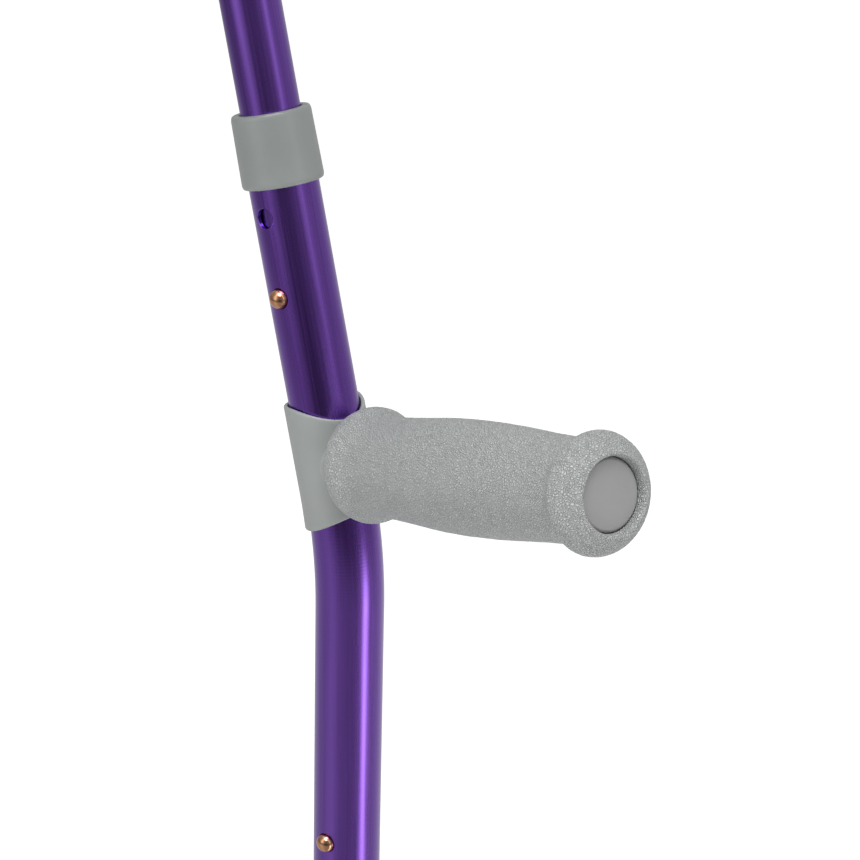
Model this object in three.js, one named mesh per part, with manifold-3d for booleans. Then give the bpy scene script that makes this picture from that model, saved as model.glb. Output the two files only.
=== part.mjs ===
// Adjustable forearm crutch, millimetres, +Z up.
// Origin: centre of the rubber foot's ground face, on the axis of the straight lower shaft.
// +X: the way the hand grip points. +Y: to the side. The X-Z plane holds both tube axes and the grip.
import * as THREE from 'three';
import { mergeVertices } from 'three/addons/utils/BufferGeometryUtils.js';
import Module from 'manifold-3d';

const wasm = await Module();
wasm.setup();

// ---------------------------------------------------------------- driving dimensions
const TUBE_R = 11.1125;        // outer shaft, 7/8 in
const TUBE_BORE = 9.9;
const INNER_R = 9.525;         // telescoping tubes, 3/4 in
const INNER_BORE = 8.325;
const PITCH = 25.4;            // hole spacing, 1 in
const HOLE_R = 3.45;           // adjustment holes
const BUTTON_R = 3.1;
const UPPER_BUTTON_ANGLE = -80; // degrees round the tube from the grip's direction
const LOWER_BUTTON_ANGLE = -77.5;

const BEND_Z = 686;            // height of the bend's vertex
const LEAN = THREE.MathUtils.degToRad(17.7);
const BEND_R = 135;

const SHAFT_END = 320;         // lower end of the outer shaft
const SHAFT_TOP = 139.3;       // upper end, along the leaning axis from the vertex
const UPPER_HOLE = 84.5;       // first cuff hole, along the leaning axis
const UPPER_HOLES = 2;
const LEG_HOLE = BEND_Z - 107; // first leg hole
const LEG_HOLES = 10;

const GRIP_S = 29;             // where the grip's axis crosses the leaning axis
const GRIP_START = 15.4, GRIP_END = 136.7, GRIP_BORE = 9.85;
const SADDLE_BORE = 11.55, SADDLE_R = 12.8, STUB_R = 9.5, STUB_BORE = 7.9, STUB_END = 131;

const COLLAR_LOW = 119, COLLAR_HIGH = 142.2;

const CUFF_S = 246;            // cuff pivot, along the leaning axis
const PIVOT_X = 20;
const CUFF_BACK = 31, CUFF_WALL = 3.2;
const CUFF_LOW = -37, CUFF_TOP = 39;

const TIP_BORE_FLOOR = 12, LEG_FOOT = 14.1, LEG_TOP = BEND_Z - 85;
const SEG = 28;

// ---------------------------------------------------------------- solids
const solid = (geometry, matrix) => {
  let g = geometry.clone();
  if (matrix) g.applyMatrix4(matrix);
  for (const name of ['normal', 'uv']) g.deleteAttribute(name);
  g = mergeVertices(g, 1e-4);
  return new wasm.Manifold(new wasm.Mesh({
    numProp: 3,
    vertProperties: Float32Array.from(g.attributes.position.array),
    triVerts: Uint32Array.from(g.index.array),
  }));
};
const geometryOf = (s) => {
  const m = s.getMesh(), n = m.numProp;
  const v = new Float32Array(m.numVert * 3);
  for (let i = 0; i < m.numVert; i++) v.set(m.vertProperties.subarray(i * n, i * n + 3), i * 3);
  const g = new THREE.BufferGeometry();
  g.setAttribute('position', new THREE.BufferAttribute(v, 3));
  g.setIndex(new THREE.BufferAttribute(Uint32Array.from(m.triVerts), 1));
  g.computeVertexNormals();
  return g;
};
const at = (x, y, z, rx = 0, ry = 0, rz = 0) =>
  new THREE.Matrix4().compose(new THREE.Vector3(x, y, z), new THREE.Quaternion().setFromEuler(new THREE.Euler(rx, ry, rz, 'XYZ')), new THREE.Vector3(1, 1, 1));

// Turned piece: points are [radius, height], the axis becomes +Z.
const turned = (points, seg = SEG) => {
  const g = new THREE.LatheGeometry(points.map(([r, z]) => new THREE.Vector2(r, z)), seg);
  g.rotateX(Math.PI / 2);
  return g;
};
// Closed ring profile, counter-clockwise in the radius-height plane.
const ring = (points, seg = SEG) => turned([...points, points[0]], seg);
const cylinder = (r, z0, z1, seg = 24) => turned([[0, z0], [r, z0], [r, z1], [0, z1]], seg);
// Cylinder along +X or +Y of the current frame.
const ALONG_X = new THREE.Matrix4().makeRotationY(Math.PI / 2);
const ALONG_Y = new THREE.Matrix4().makeRotationX(-Math.PI / 2);
const moved = (m, x, y, z) => new THREE.Matrix4().makeTranslation(x, y, z).multiply(m);
// Points outward from a tube's wall at the buttons' angle, at height z.
const radial = (z, angle) => moved(new THREE.Matrix4().makeRotationZ(THREE.MathUtils.degToRad(angle)).multiply(ALONG_X), 0, 0, z);

// ---------------------------------------------------------------- shaft
// Stations of the bent centreline: straight, arc, straight.
class ShaftPath extends THREE.Curve {
  constructor() {
    super();
    const t = BEND_R * Math.tan(LEAN / 2), n = 12;
    const dir = new THREE.Vector3(-Math.sin(LEAN), 0, Math.cos(LEAN));
    this.points = [new THREE.Vector3(0, 0, SHAFT_END), new THREE.Vector3(0, 0, (SHAFT_END + BEND_Z - t) / 2)];
    this.tangents = [new THREE.Vector3(0, 0, 1), new THREE.Vector3(0, 0, 1)];
    for (let i = 0; i <= n; i++) {
      const a = (LEAN * i) / n;
      this.points.push(new THREE.Vector3(-BEND_R + BEND_R * Math.cos(a), 0, BEND_Z - t + BEND_R * Math.sin(a)));
      this.tangents.push(new THREE.Vector3(-Math.sin(a), 0, Math.cos(a)));
    }
    for (const s of [(t + SHAFT_TOP) / 2, SHAFT_TOP]) {
      this.points.push(dir.clone().multiplyScalar(s).add(new THREE.Vector3(0, 0, BEND_Z)));
      this.tangents.push(dir.clone());
    }
  }
  get steps() { return this.points.length - 1; }
  index(u) { return Math.min(this.steps, Math.max(0, Math.round(u * this.steps))); }
  getPointAt(u, target = new THREE.Vector3()) { return target.copy(this.points[this.index(u)]); }
  getTangentAt(u, target = new THREE.Vector3()) { return target.copy(this.tangents[this.index(u)]); }
}
const circlePoints = (r, seg, phase = 0) => Array.from({ length: seg }, (_, i) => {
  const a = phase + (2 * Math.PI * i) / seg;
  return new THREE.Vector2(r * Math.cos(a), r * Math.sin(a));
});
const annulus = (R, r, seg = SEG) => {
  const shape = new THREE.Shape(circlePoints(R, seg));
  shape.holes.push(new THREE.Path(circlePoints(r, seg).reverse()));
  return shape;
};
const shaftPath = new ShaftPath();
const shaftGeometry = new THREE.ExtrudeGeometry(annulus(TUBE_R, TUBE_BORE), { steps: shaftPath.steps, extrudePath: shaftPath });

const LEAN_FRAME = at(0, 0, BEND_Z, 0, -LEAN, 0); // local +Z along the leaning tube, local +X along the grip
const inLean = (m) => LEAN_FRAME.clone().multiply(m);

let shaft = solid(shaftGeometry);
for (let i = 0; i < LEG_HOLES; i++) shaft = shaft.subtract(solid(cylinder(HOLE_R, 6, 16, 12), radial(LEG_HOLE - i * PITCH, LOWER_BUTTON_ANGLE)));
for (let i = 0; i < UPPER_HOLES; i++) shaft = shaft.subtract(solid(cylinder(HOLE_R, 6, 16, 12), inLean(radial(UPPER_HOLE + i * PITCH, UPPER_BUTTON_ANGLE))));
shaft = shaft.subtract(solid(cylinder(3.35, -20, 20, 14), inLean(moved(ALONG_X, 0, 0, GRIP_S))));

// ---------------------------------------------------------------- telescoping tubes
const tube = (z0, z1, hole, angle) => {
  const g = ring([[INNER_BORE, z0], [INNER_R, z0], [INNER_R, z1], [INNER_BORE, z1]]);
  return solid(g).subtract(solid(cylinder(BUTTON_R + 0.35, 5, 12, 14), radial(hole, angle)));
};
const legTube = tube(LEG_FOOT, LEG_TOP, LEG_HOLE, LOWER_BUTTON_ANGLE);
const UPPER_FOOT = UPPER_HOLE - 22, UPPER_TOP = CUFF_S + 18.7;
let upperTube = tube(UPPER_FOOT, UPPER_TOP, UPPER_HOLE, UPPER_BUTTON_ANGLE);
upperTube = upperTube.subtract(solid(cylinder(2.6, -14, 14, 12), moved(ALONG_Y, 0, 0, CUFF_S - 13)));

// ---------------------------------------------------------------- end collars
// Pressed over the shaft's end, with a lip that guides the inner tube. z runs from the open end to the lip.
const collarProfile = (len) => [
  [11.5, 0], [12.4, 0], [12.85, 0.35], [13.0, 0.9], [12.62, len - 1.3], [12.35, len - 0.5], [11.8, len], [10.3, len],
  [10.0, len - 0.4], [9.9, len - 0.9], [9.9, len - 2.6], [11.5, len - 2.6],
];
const collarLength = COLLAR_HIGH - COLLAR_LOW;
const collar = ring(collarProfile(collarLength));

// ---------------------------------------------------------------- snap buttons and their springs
// Local frame of a clip: +Z along the tube towards the fold, +X outwards through the button, button at the origin's height.
const buttonGeometry = turned([[0, 7.75], [BUTTON_R, 7.75], [BUTTON_R, 11.3], [2.9, 12.4], [2.15, 13.35], [1.1, 13.8], [0, 13.9]], 16);
const leaf = () => {
  const t = 0.8, out = 7.3, fold = 30, tail = -5;
  const s = new THREE.Shape();
  s.moveTo(out, tail);
  s.lineTo(out, 14);
  s.lineTo(2.6, fold - 2);
  s.absarc(0, fold - 3.2, 2.9, 0.45, Math.PI - 0.45, false);
  s.lineTo(-out, 12);
  s.lineTo(-out, 1);
  s.lineTo(-out + t, 1);
  s.lineTo(-out + t, 12 - 0.1);
  s.absarc(0, fold - 3.2, 2.9 - t, Math.PI - 0.35, 0.35, true);
  s.lineTo(out - t, 14 - 0.1);
  s.lineTo(out - t, tail);
  s.closePath();
  const g = new THREE.ExtrudeGeometry(s, { depth: 6.4, bevelEnabled: false, curveSegments: 4 });
  g.translate(0, 0, -3.2);   // shape's y becomes the tube's z
  g.rotateX(Math.PI / 2);
  return g;
};
const clipFrame = (z, angle, fold) => new THREE.Matrix4().makeTranslation(0, 0, z)
  .multiply(new THREE.Matrix4().makeRotationZ(THREE.MathUtils.degToRad(angle)))
  .multiply(fold > 0 ? new THREE.Matrix4() : new THREE.Matrix4().makeRotationX(Math.PI));

// ---------------------------------------------------------------- handle
// Saddle: a wrapped sleeve whose edges taper towards the grip, with a welded stub tube.
const edgeHalf = (deg) => 20.3 - 5.4 * Math.max(0, 1 - Math.abs(deg) / 98);
// The sleeve's lower end follows the start of the shaft's bend.
const bendShift = (z) => { const d = Math.max(0, BEND_R * Math.tan(LEAN / 2) - GRIP_S - z); return -(d * d) / (2 * BEND_R); };
const saddleSleeve = () => {
  const n = 40, pos = [], idx = [];
  for (let i = 0; i < n; i++) {
    const deg = -180 + (360 * i) / n, a = THREE.MathUtils.degToRad(deg), h = edgeHalf(deg), c = Math.cos(a), s = Math.sin(a);
    const rows = [-h, -13, -8, h];
    for (const z of rows) pos.push(SADDLE_BORE * c + bendShift(z), SADDLE_BORE * s, z);
    for (const z of rows.reverse()) pos.push(SADDLE_R * c + bendShift(z), SADDLE_R * s, z);
  }
  // section order: bore upwards, then outside downwards
  for (let i = 0; i < n; i++) {
    const a = i * 8, b = ((i + 1) % n) * 8;
    for (let k = 0; k < 8; k++) {
      const k2 = (k + 1) % 8;
      idx.push(a + k, b + k2, b + k, a + k, a + k2, b + k2);
    }
  }
  const g = new THREE.BufferGeometry();
  g.setAttribute('position', new THREE.Float32BufferAttribute(pos, 3));
  g.setIndex(idx);
  return g;
};
let saddle = solid(saddleSleeve());
const stub = solid(cylinder(STUB_R, 6, STUB_END, 24), ALONG_X)
  .subtract(solid(cylinder(STUB_BORE, 5, STUB_END + 1, 24), ALONG_X))
  .subtract(solid(cylinder(12.2, -30, 30, 28)));
saddle = saddle.add(stub).subtract(solid(cylinder(3.35, -20, 20, 14), ALONG_X));

const boltHead = SADDLE_R + 0.3;
const bolt = solid(turned([[0, -21], [3, -21], [3, boltHead], [5.6, boltHead], [5.5, boltHead + 1.2], [4.7, boltHead + 2.5], [3.1, boltHead + 3.2], [0, boltHead + 3.4]], 14))
  .subtract(solid(new THREE.CylinderGeometry(2.0, 2.0, 4.4, 6), at(0, 0, boltHead + 3.6, Math.PI / 2)));
const POINT_BACK = new THREE.Matrix4().makeRotationY(-Math.PI / 2); // +Z of the fastener towards -X
const washer = ring([[3.35, 13.15], [6.2, 13.15], [6.2, 14.35], [3.35, 14.35]], 20);
const nut = solid(new THREE.CylinderGeometry(5.77, 5.77, 5, 6), at(0, 0, 17.2, Math.PI / 2)).subtract(solid(cylinder(3.35, 10, 24, 14)));

const gripProfile = [
  [GRIP_BORE, 15.6], [13.2, GRIP_START], [15.8, 16.3], [17.6, 18.4], [18.4, 21.8], [17.6, 25.3], [16.4, 28.0], [15.95, 31.0],
  [16.0, 37], [16.9, 53], [17.55, 66], [17.6, 76], [17.0, 91], [15.95, 109], [15.6, 119.5],
  [15.9, 123.0], [17.4, 125.8], [18.4, 128.4], [18.2, 130.4], [17.35, 132.4], [15.9, 134.1], [14.2, 135.5], [12.2, GRIP_END],
  [11.15, 136.2], [11.15, 131.3], [GRIP_BORE, 131.3],
];
const grip = ring(gripProfile, 28);
const endPlug = turned([[0, 131.65], [7.6, 131.65], [7.6, 131.6], [10.8, 131.6], [10.8, 133.8], [10.5, 134.2], [9.9, 134.3], [0, 134.3]], 28);
const plugStem = ring([[5.4, 120], [7.55, 120], [7.55, 131.9], [5.4, 131.9]], 24);
const plug = solid(endPlug).add(solid(plugStem));

// ---------------------------------------------------------------- cuff
const cuffR = (z) => 43.5 + 6.0 * (z - CUFF_LOW) / (CUFF_TOP - CUFF_LOW);   // inner radius, wider towards the elbow
const HALF_ARC = 134;
const cuffShell = () => {
  const nu = 28, nv = 4, pos = [], idx = [];
  const corner = (deg) => { const e = Math.max(0, (Math.abs(deg) - (HALF_ARC - 34)) / 34); return 1 - Math.sqrt(Math.max(0, 1 - e * e)); };
  const point = (deg, v, out) => {
    const drop = corner(deg), zl = CUFF_LOW + 20 * drop, zt = CUFF_TOP - 23 * drop - 3 * Math.max(0, 1 - Math.abs(deg) / 90);
    const z = zl + (zt - zl) * v, ri = cuffR(z), r = ri + (out ? CUFF_WALL : 0), a = THREE.MathUtils.degToRad(180 - deg);
    return [CUFF_BACK + CUFF_WALL + ri + r * Math.cos(a), r * Math.sin(a), z];
  };
  const id = (i, j, o) => (i * (nv + 1) + j) * 2 + o;
  for (let i = 0; i <= nu; i++) {
    const deg = -HALF_ARC + (2 * HALF_ARC * i) / nu;
    for (let j = 0; j <= nv; j++) { pos.push(...point(deg, j / nv, false)); pos.push(...point(deg, j / nv, true)); }
  }
  const quad = (a, b, c, d) => idx.push(a, b, c, a, c, d);
  for (let i = 0; i < nu; i++) for (let j = 0; j < nv; j++) {
    quad(id(i, j, 1), id(i, j + 1, 1), id(i + 1, j + 1, 1), id(i + 1, j, 1));
    quad(id(i, j, 0), id(i + 1, j, 0), id(i + 1, j + 1, 0), id(i, j + 1, 0));
  }
  for (let i = 0; i < nu; i++) {
    quad(id(i, 0, 0), id(i, 0, 1), id(i + 1, 0, 1), id(i + 1, 0, 0));
    quad(id(i, nv, 1), id(i, nv, 0), id(i + 1, nv, 0), id(i + 1, nv, 1));
  }
  for (let j = 0; j < nv; j++) {
    quad(id(0, j, 0), id(0, j + 1, 0), id(0, j + 1, 1), id(0, j, 1));
    quad(id(nu, j, 1), id(nu, j + 1, 1), id(nu, j + 1, 0), id(nu, j, 0));
  }
  const g = new THREE.BufferGeometry();
  g.setAttribute('position', new THREE.Float32BufferAttribute(pos, 3));
  g.setIndex(idx);
  return g;
};
// Plate in the X-Z plane of width w: round end of radius r at the pivot, widening to half height h at x = x1.
const lugPlate = (r, x1, h, w) => {
  const s = new THREE.Shape(), n = 14, d = x1 - PIVOT_X, dir = Math.sign(d);
  s.moveTo(x1, -h);
  s.lineTo(x1, h);
  const a0 = dir > 0 ? Math.PI / 2 : Math.PI / 2, a1 = dir > 0 ? (3 * Math.PI) / 2 : -Math.PI / 2;
  for (let i = 0; i <= n; i++) { const a = a0 + ((a1 - a0) * i) / n; s.lineTo(PIVOT_X + r * Math.cos(a), r * Math.sin(a)); }
  s.closePath();
  const g = new THREE.ExtrudeGeometry(s, { depth: w, bevelEnabled: false });
  g.translate(0, 0, -w / 2);
  g.rotateX(Math.PI / 2);
  return g;
};
let cuff = solid(cuffShell()).add(solid(lugPlate(6.6, CUFF_BACK + 1.6, 13, 9.8)));
cuff = cuff.subtract(solid(cylinder(3.35, -8, 8, 14), moved(ALONG_Y, PIVOT_X, 0, 0)));

const BRACKET_R = 12.3;
let bracket = solid(turned([[0, -24], [11.7, -24], [BRACKET_R, -23.2], [BRACKET_R, 19.5], [11.9, 21.6], [10.6, 23.6], [8.2, 25], [4.5, 25.7], [0, 25.8]], SEG));
for (const side of [-1, 1]) bracket = bracket.add(solid(lugPlate(7.6, 6, 15, 4), moved(new THREE.Matrix4(), 0, side * 8.3, 0)));
bracket = bracket.subtract(solid(cylinder(9.9, -26, 19, SEG)));
bracket = bracket.subtract(solid(cylinder(3.35, -12, 12, 14), moved(ALONG_Y, PIVOT_X, 0, 0)));
bracket = bracket.subtract(solid(cylinder(2.6, -14, 14, 12), moved(ALONG_Y, 0, 0, -13)));

const rivet = (r, half, headR, headH) => turned([
  [0, -half - headH], [headR * 0.55, -half - headH * 0.85], [headR * 0.9, -half - headH * 0.45], [headR, -half], [r, -half],
  [r, half], [headR, half], [headR * 0.9, half + headH * 0.45], [headR * 0.55, half + headH * 0.85], [0, half + headH]], 14);
const pivotPin = rivet(3.0, 10.65, 5.2, 2.3);
const bracketRivet = rivet(2.2, BRACKET_R + 0.3, 3.6, 1.6);
const cuffWasher = ring([[3.3, 0], [6.0, 0], [6.0, 0.75], [3.3, 0.75]], 20);

// ---------------------------------------------------------------- foot
const footOuter = [
  [0, 0], [9.5, 0], [9.5, 1.5], [13, 1.5], [13, 0],
  [22.2, 0], [23.3, 1.0], [23.2, 6.5], [22.2, 9.2], [19.6, 12.4], [17.0, 15.8], [15.4, 19.6], [14.6, 23.6],
  [15.2, 24.6], [15.2, 33.4], [14.0, 34.6], [13.6, 43.6], [14.3, 44.6], [14.3, 47.4], [13.5, 48.4],
  [9.87, 48.4], [9.87, TIP_BORE_FLOOR], [0, TIP_BORE_FLOOR],
];
const foot = turned(footOuter, 24);
const footWasher = ring([[2.6, TIP_BORE_FLOOR + 0.3], [9.3, TIP_BORE_FLOOR + 0.3], [9.3, TIP_BORE_FLOOR + 1.8], [2.6, TIP_BORE_FLOOR + 1.8]], 20);

// ---------------------------------------------------------------- materials and assembly
const paint = (color, roughness, metalness) => new THREE.MeshStandardMaterial({ color, roughness, metalness });
const anodised = paint(0x4b2189, 0.28, 0.9);
const greyPlastic = paint(0x8f9694, 0.45, 0);
const greyMetal = paint(0x939b98, 0.4, 0.1);
const greyVinyl = paint(0x9a9e9d, 0.75, 0);
const greyRubber = paint(0x7d8180, 0.85, 0);
const copper = paint(0xc98552, 0.25, 1);
const steel = paint(0xb4b6b8, 0.35, 1);
const spring = paint(0x8c8f93, 0.35, 1);
const nylon = paint(0xdcdcd6, 0.5, 0);

const crutch = new THREE.Group();
const lean = new THREE.Group();
lean.position.set(0, 0, BEND_Z);
lean.rotation.set(0, -LEAN, 0);
crutch.add(lean);
const cuffGroup = new THREE.Group();
cuffGroup.position.set(0, 0, CUFF_S);
lean.add(cuffGroup);
const gripGroup = new THREE.Group();
gripGroup.position.set(0, 0, GRIP_S);
lean.add(gripGroup);

const add = (parent, name, shape, material, matrix) => {
  const g = shape instanceof THREE.BufferGeometry ? shape : geometryOf(shape);
  const mesh = new THREE.Mesh(g, material);
  mesh.name = name;
  if (matrix) matrix.decompose(mesh.position, mesh.quaternion, mesh.scale);
  parent.add(mesh);
  return mesh;
};

add(crutch, 'main_tube', shaft, anodised);
add(lean, 'upper_collar', collar, greyPlastic, moved(new THREE.Matrix4(), 0, 0, COLLAR_LOW));
add(crutch, 'lower_collar', collar, greyPlastic, moved(new THREE.Matrix4().makeRotationX(Math.PI), 0, 0, SHAFT_END + SHAFT_TOP - COLLAR_LOW));

add(gripGroup, 'handle_saddle', saddle, greyMetal);
add(gripGroup, 'handle_bolt', bolt, steel, POINT_BACK);
add(gripGroup, 'handle_washer', washer, steel, ALONG_X);
add(gripGroup, 'handle_nut', nut, steel, ALONG_X);
add(gripGroup, 'grip_sleeve', grip, greyVinyl, ALONG_X);
add(gripGroup, 'grip_end_plug', plug, greyPlastic, ALONG_X);

add(lean, 'upper_tube', upperTube, anodised);
add(lean, 'upper_snap_spring', leaf(), spring, clipFrame(UPPER_HOLE, UPPER_BUTTON_ANGLE, 1));
add(lean, 'upper_snap_button', buttonGeometry, copper, radial(UPPER_HOLE, UPPER_BUTTON_ANGLE));

add(cuffGroup, 'cuff_shell', cuff, greyPlastic);
add(cuffGroup, 'cuff_bracket', bracket, greyPlastic);
add(cuffGroup, 'cuff_pivot_pin', pivotPin, steel, moved(ALONG_Y, PIVOT_X, 0, 0));
add(cuffGroup, 'cuff_bracket_rivet', bracketRivet, steel, moved(ALONG_Y, 0, 0, -13));
add(cuffGroup, 'cuff_washer_left', cuffWasher, nylon, moved(ALONG_Y, PIVOT_X, 5.2, 0));
add(cuffGroup, 'cuff_washer_right', cuffWasher, nylon, moved(ALONG_Y, PIVOT_X, -5.95, 0));

add(crutch, 'leg_tube', legTube, anodised);
add(crutch, 'lower_snap_spring', leaf(), spring, clipFrame(LEG_HOLE, LOWER_BUTTON_ANGLE, -1));
add(crutch, 'lower_snap_button', buttonGeometry, copper, radial(LEG_HOLE, LOWER_BUTTON_ANGLE));
add(crutch, 'rubber_tip', foot, greyRubber);
add(crutch, 'tip_washer', footWasher, steel);

export default crutch;
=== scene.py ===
import math
import bmesh
import bpy
import numpy as np
from mathutils import Matrix, Vector, noise


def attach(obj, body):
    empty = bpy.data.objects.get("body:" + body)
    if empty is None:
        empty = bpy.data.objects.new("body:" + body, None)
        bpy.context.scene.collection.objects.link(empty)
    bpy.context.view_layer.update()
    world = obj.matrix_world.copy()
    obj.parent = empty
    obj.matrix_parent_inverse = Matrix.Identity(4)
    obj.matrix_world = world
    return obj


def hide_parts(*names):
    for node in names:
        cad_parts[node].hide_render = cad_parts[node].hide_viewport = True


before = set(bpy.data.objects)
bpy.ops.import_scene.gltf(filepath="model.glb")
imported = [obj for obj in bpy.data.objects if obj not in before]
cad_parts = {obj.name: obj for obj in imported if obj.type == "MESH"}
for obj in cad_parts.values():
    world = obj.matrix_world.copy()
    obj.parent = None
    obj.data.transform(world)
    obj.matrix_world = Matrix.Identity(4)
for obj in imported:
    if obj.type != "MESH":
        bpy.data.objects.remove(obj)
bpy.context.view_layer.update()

# ------------------------------------------------------------------ sizes, millimetres in the row frame
MM = 0.001
LEAN = math.radians(17.7)
BEND_Z, BEND_R = 686.0, 135.0
TUBE_R, TUBE_BORE = 11.1125, 9.9
INNER_R, INNER_BORE = 9.525, 8.325
SHAFT_END, SHAFT_TOP = 320.0, 139.3
PITCH, HOLE_R = 25.4, 3.25
UPPER_HOLE, LEG_HOLE = 84.5, BEND_Z - 107.0
GRIP_S, CUFF_S, PIVOT_X = 29.0, 246.0, 20.0
COLLAR_LOW, COLLAR_HIGH = 119.0, 142.2
UPPER_BUTTON, LOWER_BUTTON = -80.0, -77.5        # degrees round the tube from the grip

LEAN_M = Matrix.Translation((0, 0, BEND_Z)) @ Matrix.Rotation(-LEAN, 4, "Y")
GRIP_M = LEAN_M @ Matrix.Translation((0, 0, GRIP_S))
ALONG_X = Matrix.Rotation(math.pi / 2, 4, "Y")
ALONG_Y = Matrix.Rotation(-math.pi / 2, 4, "X")
CUFF_M = LEAN_M @ Matrix.Translation((0, 0, CUFF_S))


def radial(z, degrees):
    return Matrix.Translation((0, 0, z)) @ Matrix.Rotation(math.radians(degrees), 4, "Z") @ ALONG_X


# ------------------------------------------------------------------ materials
def make_material(name):
    m = bpy.data.materials.new(name)
    m.use_nodes = True
    nt = m.node_tree
    return m, nt, nt.nodes["Principled BSDF"]


def add_node(nt, kind, **values):
    n = nt.nodes.new(kind)
    for key, value in values.items():
        if key in n.inputs:
            n.inputs[key].default_value = value
        else:
            setattr(n, key, value)
    return n


def object_coords(nt, scale=(1, 1, 1)):
    tc = add_node(nt, "ShaderNodeTexCoord")
    mp = add_node(nt, "ShaderNodeMapping")
    mp.inputs["Scale"].default_value = scale
    nt.links.new(tc.outputs["Object"], mp.inputs["Vector"])
    return mp.outputs["Vector"]


def rest_coords(nt, scale):
    at = add_node(nt, "ShaderNodeAttribute")
    at.attribute_name = "rest"
    mp = add_node(nt, "ShaderNodeMapping")
    mp.inputs["Scale"].default_value = scale
    nt.links.new(at.outputs["Vector"], mp.inputs["Vector"])
    return mp.outputs["Vector"]


def tex_noise(nt, vec, scale, detail=3.0, rough=0.5):
    n = add_node(nt, "ShaderNodeTexNoise")
    n.inputs["Scale"].default_value = scale
    n.inputs["Detail"].default_value = detail
    n.inputs["Roughness"].default_value = rough
    nt.links.new(vec, n.inputs["Vector"])
    return n.outputs["Fac"]


def ramp(nt, fac, stops):
    r = add_node(nt, "ShaderNodeValToRGB")
    el = r.color_ramp.elements
    while len(el) > len(stops):
        el.remove(el[-1])
    while len(el) < len(stops):
        el.new(0.5)
    for e, (p, c) in zip(el, stops):
        e.position = p
        e.color = (*c, 1) if len(c) == 3 else c
    nt.links.new(fac, r.inputs["Fac"])
    return r.outputs["Color"]


def map_range(nt, fac, lo, hi, a=0.0, b=1.0):
    r = add_node(nt, "ShaderNodeMapRange")
    r.inputs["From Min"].default_value = a
    r.inputs["From Max"].default_value = b
    r.inputs["To Min"].default_value = lo
    r.inputs["To Max"].default_value = hi
    nt.links.new(fac, r.inputs["Value"])
    return r.outputs["Result"]


def mix_color(nt, fac, a, b, mode="MIX"):
    m = add_node(nt, "ShaderNodeMix")
    m.data_type = "RGBA"
    m.blend_type = mode
    for sock, value in ((m.inputs[0], fac), (m.inputs[6], a), (m.inputs[7], b)):
        if hasattr(value, "is_output"):
            nt.links.new(value, sock)
        else:
            sock.default_value = value if isinstance(value, (int, float)) else (*value, 1)
    return m.outputs[2]


def bump(nt, bsdf, height, strength, distance, after=None):
    b = add_node(nt, "ShaderNodeBump")
    b.inputs["Strength"].default_value = strength
    b.inputs["Distance"].default_value = distance
    nt.links.new(height, b.inputs["Height"])
    if after is not None:
        nt.links.new(after, b.inputs["Normal"])
    nt.links.new(b.outputs["Normal"], bsdf.inputs["Normal"])
    return b.outputs["Normal"]


def scaled(c, k):
    return tuple(min(1.0, v * k) for v in c)


PURPLE = (0.243, 0.091, 0.575)


def anodised():
    m, nt, b = make_material("anodised_purple")
    b.inputs["Metallic"].default_value = 1.0
    b.inputs["Coat Weight"].default_value = 0.55          # the sealed skin over the dye
    b.inputs["Coat Roughness"].default_value = 0.16
    b.inputs["Coat IOR"].default_value = 1.5
    streak = tex_noise(nt, rest_coords(nt, (1, 1, 0.012)), 1500.0, 4.0, 0.6)      # drawn lines along the tube
    cloud = tex_noise(nt, rest_coords(nt, (1, 1, 0.12)), 95.0, 3.0, 0.55)
    dye = ramp(nt, cloud, [(0.3, scaled(PURPLE, 0.93)), (0.7, scaled(PURPLE, 1.05))])
    line = ramp(nt, streak, [(0.35, (0.86, 0.86, 0.86)), (0.6, (1, 1, 1))])
    nt.links.new(mix_color(nt, 1.0, dye, line, "MULTIPLY"), b.inputs["Base Color"])
    nt.links.new(map_range(nt, streak, 0.2, 0.34, 0.3, 0.75), b.inputs["Roughness"])
    pit = tex_noise(nt, rest_coords(nt, (1, 1, 1)), 2600.0, 2.0, 0.5)
    first = bump(nt, b, streak, 0.10, 0.00006)
    second = bump(nt, b, pit, 0.06, 0.00005, first)
    # faint marks that the bending mandrel leaves across the tube, only round the bend
    sep = add_node(nt, "ShaderNodeSeparateXYZ")
    at = add_node(nt, "ShaderNodeAttribute")
    at.attribute_name = "rest"
    nt.links.new(at.outputs["Vector"], sep.inputs["Vector"])
    wave = add_node(nt, "ShaderNodeMath")
    wave.operation = "SINE"
    wave.use_clamp = False
    freq = add_node(nt, "ShaderNodeMath")
    freq.operation = "MULTIPLY"
    freq.inputs[1].default_value = 2 * math.pi / 0.00115
    nt.links.new(sep.outputs["Z"], freq.inputs[0])
    nt.links.new(freq.outputs["Value"], wave.inputs[0])
    near = ramp(nt, map_range(nt, sep.outputs["Z"], 0.0, 1.0, 0.640, 0.730), [(0.1, (0, 0, 0)), (0.3, (1, 1, 1)), (0.6, (1, 1, 1)), (0.9, (0, 0, 0))])
    both = add_node(nt, "ShaderNodeMath")
    both.operation = "MULTIPLY"
    nt.links.new(wave.outputs["Value"], both.inputs[0])
    nt.links.new(near, both.inputs[1])
    bump(nt, b, both.outputs["Value"], 0.10, 0.00004, second)
    return m


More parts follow.
